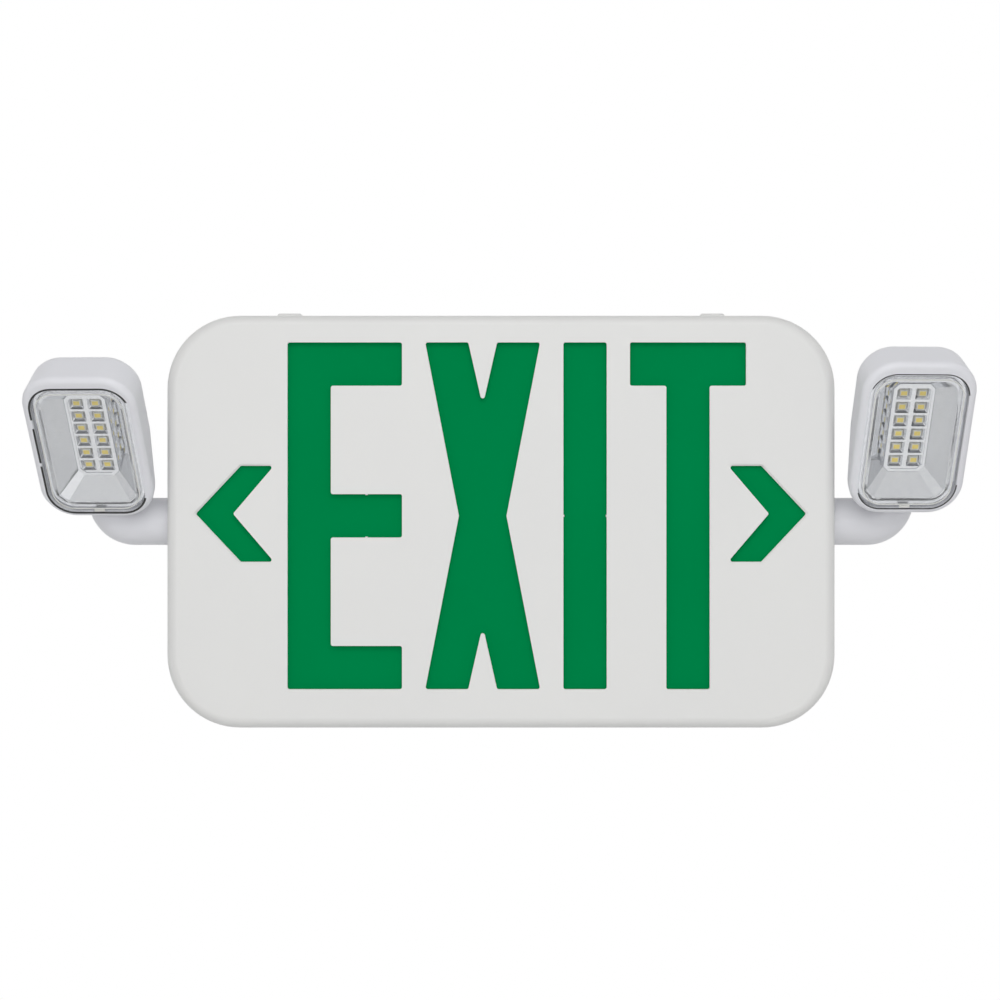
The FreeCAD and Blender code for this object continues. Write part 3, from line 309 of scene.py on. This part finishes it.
def batterySleeve():
    # heat-shrunk film: long soft wrinkles and a printed-film gloss
    finish = newFinish("batterySleeve")
    wrinkle = finish.noise(sleeveFilm["wrinkleScale"], sleeveFilm["wrinkleDetail"],
                           sleeveFilm["wrinkleStretch"])
    shade = darker(sleeveFilm["colour"], sleeveFilm["shade"])
    finish.paint(Base_Color=finish.blend(wrinkle, sleeveFilm["colour"], shade),
                 Roughness=sleeveFilm["roughness"] + wrinkle * sleeveFilm["wrinkleHaze"],
                 Normal=finish.relief(wrinkle, sleeveFilm["wrinkleDepth"], sleeveFilm["strength"]))
    return finish.material


finishes = {
    "white_plastic": whitePlastic("whitePlastic", whiteShell),
    "green_legend": greenLegend(),
    "clear_lens": clearLens(),
    "silver_reflector": silvered("silverReflector", silverCoat),
    "tray_plastic": moulded("trayPlastic", srgb(230, 230, 226), 0.5),
    "white_board": circuit("whiteBoard", srgb(214, 214, 210), srgb(196, 192, 178)),
    "phosphor": moulded("phosphor", srgb(250, 226, 112), 0.45, scale=3200),
    "battery_sleeve": batterySleeve(),
    "plated_steel": platedSteel(),
    "green_board": circuit("greenBoard", srgb(24, 92, 54), srgb(58, 132, 78)),
    "lamination_steel": laminationSteel(),
    "black_plastic": moulded("blackPlastic", srgb(42, 42, 43), 0.5),
    "button_red": moulded("buttonRed", srgb(182, 30, 26), 0.3, scale=2800, depth=0.00001),
    "status_lens": moulded("statusLens", srgb(168, 22, 20), 0.12, scale=1600, depth=0.00001),
    "washer_rubber": moulded("washerRubber", srgb(46, 46, 46), 0.72, scale=1500, depth=0.00006),
}
slots = {entry["node"]: entry["material_slot"] for entry in frame["record"]["subparts"]}
headWhite = whitePlastic("headWhite", coolShell)
for name, node in nodes.items():
    node.data.materials.clear()
    node.data.materials.append(headWhite if name in coolNodes else finishes[slots[name]])
print("frame finished")


# the stage is in metres: the object's face is at faceY and fills most of viewWidth
shot = {"x": -0.00044, "z": 0.00955, "faceY": -0.048, "distance": 1.5, "viewWidth": 0.4392,
        "sensor": 36, "farthest": 20}


def clearSelection():
    if bpy.context.mode != "OBJECT":
        bpy.ops.object.mode_set(mode="OBJECT")
    bpy.ops.object.select_all(action="DESELECT")


def towardsObject(place, axis):
    return (-Vector(place)).to_track_quat(axis, "Y").to_euler()


def addCamera():
    bpy.ops.object.camera_add(location=(shot["x"], shot["faceY"] - shot["distance"], shot["z"]),
                              rotation=upright)
    camera = bpy.context.object
    camera.data.sensor_width = shot["sensor"]
    camera.data.lens = shot["distance"] / shot["viewWidth"] * shot["sensor"]
    camera.data.clip_end = shot["farthest"]
    bpy.context.scene.camera = camera


# place, width and height, watts
lamps = {"keyLamp": ((0.0, -1.7, 1.1), (1.5, 0.8), 12),
         "fillLamp": ((0.0, -2.6, 0.1), (1.4, 1.0), 9.5)}


def addLamp(name):
    place, size, watts = lamps[name]
    bpy.ops.object.light_add(type="AREA", location=place)
    lamp = bpy.context.object
    lamp.name = name
    lamp.data.shape = "RECTANGLE"
    lamp.data.size, lamp.data.size_y = size
    lamp.data.energy = watts
    lamp.rotation_euler = towardsObject(place, "-Z")


def seenRays(finish):
    # 1 for what the lens, gloss and clear plastic see, 0 for the light that falls on things
    kinds = [finish.add("ShaderNodeLightPath", out=kind)
             for kind in ("Is Camera Ray", "Is Glossy Ray", "Is Transmission Ray")]
    return kinds[0].combine("MAXIMUM", kinds[0], kinds[0].combine("MAXIMUM", kinds[1], kinds[2]))


paleFloor = {"size": 2.4, "z": -0.42, "colour": srgb(232, 232, 232), "patch": srgb(228, 228, 228),
             "patchScale": 6, "roughness": 0.8, "glow": 0.56}


def addFloor():
    # its glow shows, but doesn't light the object
    bpy.ops.mesh.primitive_plane_add(size=paleFloor["size"], location=(0, 0, paleFloor["z"]))
    floor = bpy.context.object
    floor.name = "floor"
    finish = newFinish("paleFloor", Roughness=paleFloor["roughness"],
                       Emission_Strength=paleFloor["glow"])
    patch = finish.noise(paleFloor["patchScale"])
    finish.paint(Base_Color=finish.blend(patch, paleFloor["colour"], paleFloor["patch"]),
                 Emission_Color=finish.blend(seenRays(finish), black, white))
    floor.data.materials.append(finish.material)


greyCard = {"colour": srgb(88, 92, 100), "shade": 0.8, "patchScale": 2, "roughness": 1.0,
            "glow": 1.0,
            "hiddenFrom": ("camera", "diffuse", "shadow", "transmission", "volume_scatter")}
flags = {"flagOver": ((0.0, -0.5, 1.9), (5.0, 5.0)), "flagLeft": ((-2.0, -2.0, 0.3), (1.3, 2.0)),
         "flagRight": ((2.0, -2.0, 0.3), (1.3, 2.0))}


def greyFlag():
    finish = newFinish("greyFlag", Base_Color=black, Roughness=greyCard["roughness"],
                       Emission_Strength=greyCard["glow"])
    patch = finish.noise(greyCard["patchScale"])
    shade = darker(greyCard["colour"], greyCard["shade"])
    finish.paint(Emission_Color=finish.blend(patch, greyCard["colour"], shade))
    return finish.material


def addFlag(name, material):
    # a grey card out of view, which only reflections pick up
    place, (width, height) = flags[name]
    bpy.ops.mesh.primitive_plane_add(size=1, location=place)
    flag = bpy.context.object
    flag.name = name
    flag.scale = (width, height, 1)
    flag.rotation_euler = towardsObject(place, "Z")
    flag.data.materials.append(material)
    for kind in greyCard["hiddenFrom"]:
        setattr(flag, "visible_" + kind, False)


sky = {"colour": white, "daylight": 0.5}


def addWorld():
    # full strength to the eye and in reflections, less of it as light
    world = bpy.data.worlds.new("studio")
    bpy.context.scene.world = world
    world.use_nodes = True
    finish = Finish(world.node_tree, "Background")
    finish.paint(Color=sky["colour"],
                 Strength=seenRays(finish) * (1 - sky["daylight"]) + sky["daylight"])


clearSelection()
addCamera()
for name in lamps:
    addLamp(name)
addFloor()
flagGrey = greyFlag()
for name in flags:
    addFlag(name, flagGrey)
addWorld()
bpy.context.scene.view_settings.view_transform = "Standard"
print("stage ready")


# millimetres and degrees: the arm's post, the reach to the tilt axis, each head's turn and tilt
heads = {"post": (173.6, -24.0, 41.0), "reach": 9.5,
         "angles": {"left": (-9.3, 36.8), "right": (8.2, 28.9)}}


def headFrame(side):
    # the lens trim and the lamps are made straight and upright, then moved by this
    turn, tilt = (math.radians(angle) for angle in heads["angles"][side])
    postX, postY, postZ = heads["post"]
    post = Matrix.Translation(Vector((sides[side] * postX, postY, postZ)) * mm)
    reach = Matrix.Translation(Vector((0, -heads["reach"], 0)) * mm)
    return post @ Matrix.Rotation(turn, 4, "Z") @ reach @ Matrix.Rotation(tilt, 4, "X")


def pickPieces(pieces):
    clearSelection()
    for piece in pieces:
        piece.select_set(True)
    bpy.context.view_layer.objects.active = pieces[0]


def joined(name, pieces):
    pickPieces(pieces)
    bpy.ops.object.join()
    pieces[0].name = name
    return pieces[0]


def repeated(name, model, places):
    # copies of one small piece at the given matrices, joined into one object
    copies = []
    for place in places:
        copy = bpy.data.objects.new(name, model.data.copy())
        copy.data.transform(place)
        bpy.context.collection.objects.link(copy)
        copies.append(copy)
    return joined(name, copies)


def applyTransform():
    bpy.ops.object.transform_apply(location=True, rotation=True, scale=True)


def addBlock(name, place, size):
    clearSelection()
    bpy.ops.mesh.primitive_cube_add(size=1, location=Vector(place) * mm)
    block = bpy.context.object
    block.name = name
    block.scale = Vector(size) * mm
    applyTransform()
    return block


def wholeMesh(tool, **settings):
    bpy.ops.mesh.select_all(action="SELECT")
    tool(**settings)


def pickFaces(piece, wanted):
    bpy.ops.object.mode_set(mode="EDIT")
    bpy.ops.mesh.select_mode(type="FACE")
    bpy.ops.mesh.select_all(action="DESELECT")
    mesh = bmesh.from_edit_mesh(piece.data)
    for face in mesh.faces:
        face.select_set(wanted(face))
    bmesh.update_edit_mesh(piece.data)


def shadeSmooth(angle):
    bpy.ops.object.shade_smooth_by_angle(angle=math.radians(angle))


def softenEdges(piece, width, segments=2, smooth=40):
    # works on the piece that is active
    bpy.ops.object.mode_set(mode="OBJECT")
    bevel = piece.modifiers.new("soften", "BEVEL")
    bevel.width = width * mm
    bevel.segments = segments
    bevel.limit_method = "ANGLE"
    bpy.ops.object.modifier_apply(modifier=bevel.name)
    shadeSmooth(smooth)


def settle(piece, body, slot, *replaced, finish=None):
    piece.data.materials.clear()
    piece.data.materials.append(finish or finishes[slot])
    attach(piece, body)
    if replaced:
        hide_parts(*replaced)


# millimetres, each package standing on the board with its back at y = 0
ledPackage = {"size": (3.5, 0.8, 2.8), "wall": 0.32, "dish": 0.22, "taper": 0.9, "corner": 0.09,
              "frontNormal": -0.9,
              "gelGap": 0.06, "gelLow": 0.04, "gelCorner": 0.12, "gelSegments": 3,
              "foot": (0.5, 0.22, 1.9), "footOut": 0.13, "footCorner": 0.05,
              "boardFront": -18.8, "columns": (-4.21, 4.21), "rows": 6, "pitch": 6.56,
              "middle": 11.35}


def ledBody():
    # white package with a tapered dish in its front
    depth, dish, taper = ledPackage["size"][1], ledPackage["dish"], ledPackage["taper"]
    body = addBlock("ledBody", (0, -depth / 2, 0), ledPackage["size"])
    pickFaces(body, lambda face: face.normal.y < ledPackage["frontNormal"])
    bpy.ops.mesh.inset(thickness=ledPackage["wall"] * mm)
    bpy.ops.mesh.extrude_region_move(TRANSFORM_OT_translate={"value": (0, dish * mm, 0)})
    bpy.ops.transform.resize(value=(taper, 1, taper))
    softenEdges(body, ledPackage["corner"])
    return body


def ledGel():
    # the phosphor gel lies on the dish's floor, just clear of its walls
    width, depth, height = ledPackage["size"]
    wall = ledPackage["wall"] + ledPackage["gelGap"]
    thick = ledPackage["dish"] - ledPackage["gelLow"]
    gel = addBlock("ledGel", (0, -depth + ledPackage["dish"] - thick / 2, 0),
                   (width - 2 * wall, thick, height - 2 * wall))
    softenEdges(gel, ledPackage["gelCorner"], ledPackage["gelSegments"])
    return gel


def ledFeet():
    # a soldered foot at each end of the package
    footX, footY, footZ = ledPackage["foot"]
    reach = ledPackage["size"][0] / 2 + ledPackage["footOut"] - footX / 2
    feet = joined("ledFeet", [addBlock("ledFoot", (way * reach, -footY / 2, 0),
                                       (footX, footY, footZ)) for way in (-1, 1)])
    softenEdges(feet, ledPackage["footCorner"])
    return feet


def ledSpots():
    # two columns of lamps, evenly spaced about the board's middle
    rows, middle, pitch = ledPackage["rows"], ledPackage["middle"], ledPackage["pitch"]
    return [Matrix.Translation(Vector((x, ledPackage["boardFront"],
                                       middle + (row - (rows - 1) / 2) * pitch)) * mm)
            for row in range(rows) for x in ledPackage["columns"]]


def addLampLeds():
    models = {"Body": (ledBody(), "tray_plastic"), "Gel": (ledGel(), "phosphor"),
              "Feet": (ledFeet(), "plated_steel")}
    for side in sides:
        places = [headFrame(side) @ spot for spot in ledSpots()]
        for kind, (model, slot) in models.items():
            piece = repeated("led" + kind + "_" + side, model, places)
            settle(piece, "head_" + side, slot, "lamp_leds_" + side)
    for model, slot in models.values():
        bpy.data.objects.remove(model)


# millimetres in the head's frame; a gap or bridge is the top and the foot of a cut in a long side
lensTrim = {"width": 43.7, "height": 65.4, "radius": 11.0, "middle": 9.0, "front": -30.0,
            "thick": 0.3, "corner": 12, "soften": 0.08, "proud": 0.05,
            "borderIn": 0.05, "borderBand": 4.15, "borderBack": 2.15,
            "step": 1.9, "stepBack": 0.6, "edgeBand": 0.5, "edgeProud": 0.02,
            # the joint band and its depth place a dark ring of painted shade where the gap between
            # lens and shell lies in shadow
            "jointShadeBand": {"left": 0.9, "right": 0.55}, "jointShadeBack": 0.3, "innerGap": (26.0, -25.0),
            "bridges": {"left": ((17.0, 12.4), (-6.0, -7.8)), "right": ((23.0, -21.0),)},
            "tab": (4.7, 0.5, 1.3), "tabCorner": 0.15}


def roundedRing(name, grow, band, front, gaps=()):
    # a flat band that follows the lens outline, with gaps in its long sides
    width, height = lensTrim["width"] + 2 * grow, lensTrim["height"] + 2 * grow
    clearSelection()
    bpy.ops.mesh.primitive_plane_add(size=1, rotation=upright)
    ring = bpy.context.object
    ring.name = name
    applyTransform()    # stood upright first, so that it is sized along x and z
    ring.scale = (width * mm, 1, height * mm)
    applyTransform()
    bpy.ops.object.mode_set(mode="EDIT")
    wholeMesh(bpy.ops.mesh.bevel, offset=(lensTrim["radius"] + grow) * mm,
              segments=lensTrim["corner"], affect="VERTICES")
    wholeMesh(bpy.ops.mesh.inset, thickness=band * mm)
    bpy.ops.mesh.delete(type="FACE")
    for way, (top, foot) in gaps:
        for level in (top, foot):
            wholeMesh(bpy.ops.mesh.bisect, plane_co=(0, 0, level * mm), plane_no=(0, 0, 1))
        pickFaces(ring, lambda face: foot * mm < face.calc_center_median().z < top * mm
                  and face.calc_center_median().x * way > 0)
        bpy.ops.mesh.delete(type="FACE")
    wholeMesh(bpy.ops.mesh.extrude_region_move,
              TRANSFORM_OT_translate={"value": (0, lensTrim["thick"] * mm, 0)})
    wholeMesh(bpy.ops.mesh.normals_make_consistent, inside=False)
    bpy.ops.object.mode_set(mode="OBJECT")
    ring.data.transform(Matrix.Translation(Vector((0, front, lensTrim["middle"])) * mm))
    softenEdges(ring, lensTrim["soften"])
    return ring


def lensTab(side):
    # small locking tab under the lens's raised field
    stepFront = lensTrim["front"] + lensTrim["stepBack"] - lensTrim["proud"]
    footZ = lensTrim["middle"] - lensTrim["height"] / 2 + lensTrim["step"] / 2
    place = (0, stepFront - lensTrim["tab"][1] / 4, footZ)
    tab = addBlock("lensTab_" + side, place, lensTrim["tab"])
    softenEdges(tab, lensTrim["tabCorner"])
    return tab


def lensBorder(side):
    # silvery band under the lens, on the reflector's flange
    return roundedRing("lensBorder_" + side, -lensTrim["borderIn"], lensTrim["borderBand"],
                       lensTrim["front"] + lensTrim["borderBack"])


def lensEdge(side):
    # pale line round the lens's raised field
    return roundedRing("lensEdge_" + side, -lensTrim["step"], lensTrim["edgeBand"],
                       lensTrim["front"] - lensTrim["edgeProud"])


def lensJointShade(side):
    # dark ring of painted shade laid over the gap between lens and shell: bridged on the outer
    # side, missing from most of the inner
    shadeWidth = lensTrim["jointShadeBand"][side]
    gaps = [(sides[side], bridge) for bridge in lensTrim["bridges"][side]]
    gaps.append((-sides[side], lensTrim["innerGap"]))
    return roundedRing("lensJoint_" + side, shadeWidth, shadeWidth,
                       lensTrim["front"] + lensTrim["jointShadeBack"] - lensTrim["proud"], gaps)


def addLensTrim():
    borderSilver = silvered("lensBorder", borderCoat)
    for side in sides:
        tab = lensTab(side)
        pieces = {lensBorder(side): ("silver_reflector", borderSilver),
                  lensEdge(side): ("tray_plastic", None),
                  # the dark rubber ring is painted shade in the gap between lens and shell
                  lensJointShade(side): ("washer_rubber", None),
                  tab: ("tray_plastic", None)}
        for piece, (slot, finish) in pieces.items():
            piece.data.transform(headFrame(side))
            settle(piece, "head_" + side, slot, finish=finish)


# millimetres and degrees
buttonSpring = {"travel": 1.2, "merge": 0.01, "smooth": 50}


def addButtonSpring():
    # the spring above the test button, merged and smoothed
    spring = bpy.data.objects.new("buttonSpring", nodes["button_spring"].data.copy())
    bpy.context.collection.objects.link(spring)
    pickPieces([spring])
    bpy.ops.object.mode_set(mode="EDIT")
    wholeMesh(bpy.ops.mesh.remove_doubles, threshold=buttonSpring["merge"] * mm)
    bpy.ops.object.mode_set(mode="OBJECT")
    shadeSmooth(buttonSpring["smooth"])
    settle(spring, "housing", "plated_steel", "button_spring")
    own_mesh(spring)


addLampLeds()
addLensTrim()
print("lamp heads dressed")
addButtonSpring()
print("test button dressed")
